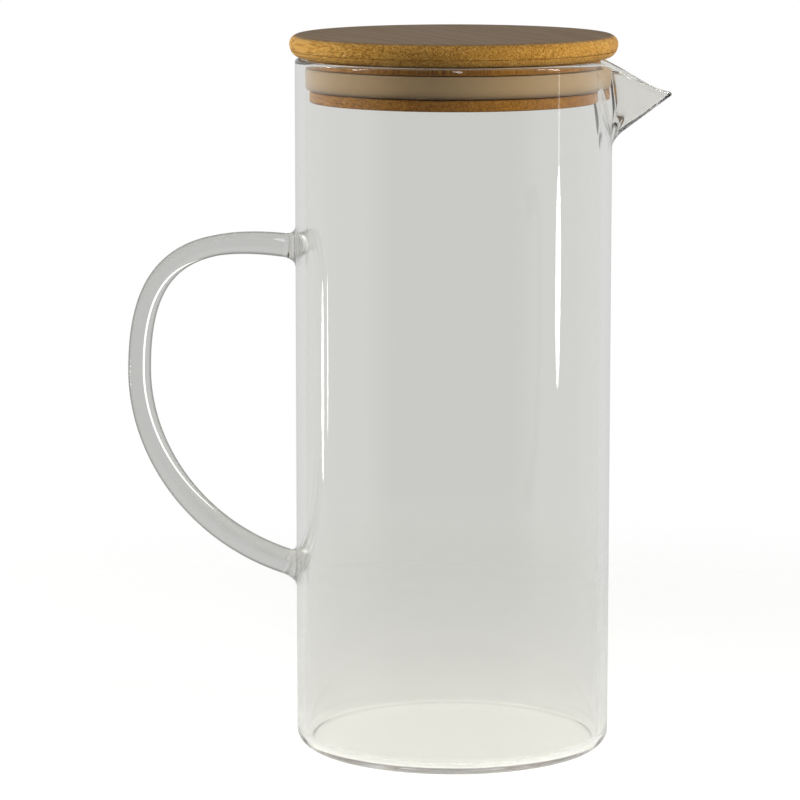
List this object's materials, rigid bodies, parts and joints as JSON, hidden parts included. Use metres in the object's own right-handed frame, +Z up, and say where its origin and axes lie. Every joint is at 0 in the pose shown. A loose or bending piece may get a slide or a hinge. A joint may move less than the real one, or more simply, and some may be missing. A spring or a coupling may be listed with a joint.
{
  "type": "water carafe",
  "caption": "Tall clear cylindrical water carafe with a drawn V spout, bent rod handle and a bamboo stopper lid with a silicone seal, for chilling and pouring drinks",
  "frame": {"origin": "centre of the flat underside of the base, on the body's axis", "axes": "+Z up along the body's axis, +X towards the spout, -X towards the handle"},
  "size_m": [0.1721, 0.1034, 0.2274],
  "materials": {
    "clear_acrylic": "clear polished",
    "bamboo": "sanded and oiled",
    "silicone": "translucent matte"
  },
  "bodies": {
    "carafe": {"jug_body": "clear_acrylic", "handle_rod": "clear_acrylic", "upper_handle_weld": "clear_acrylic", "lower_handle_weld": "clear_acrylic"},
    "seal": {"seal_ring": "silicone"},
    "lid": {"lid_top_board": "bamboo", "lid_under_board": "bamboo", "lid_plug": "bamboo"}
  },
  "joints": [
    {"name": "lid_lift", "type": "slide", "parent": "carafe", "child": "seal", "axis": [0, 0, 1], "range_m": [0, 0.03]},
    {"name": "lid_turn", "type": "hinge", "parent": "seal", "child": "lid", "pos_m": [0, 0, 0.22], "axis": [0, 0, 1], "continuous": true}
  ]
}
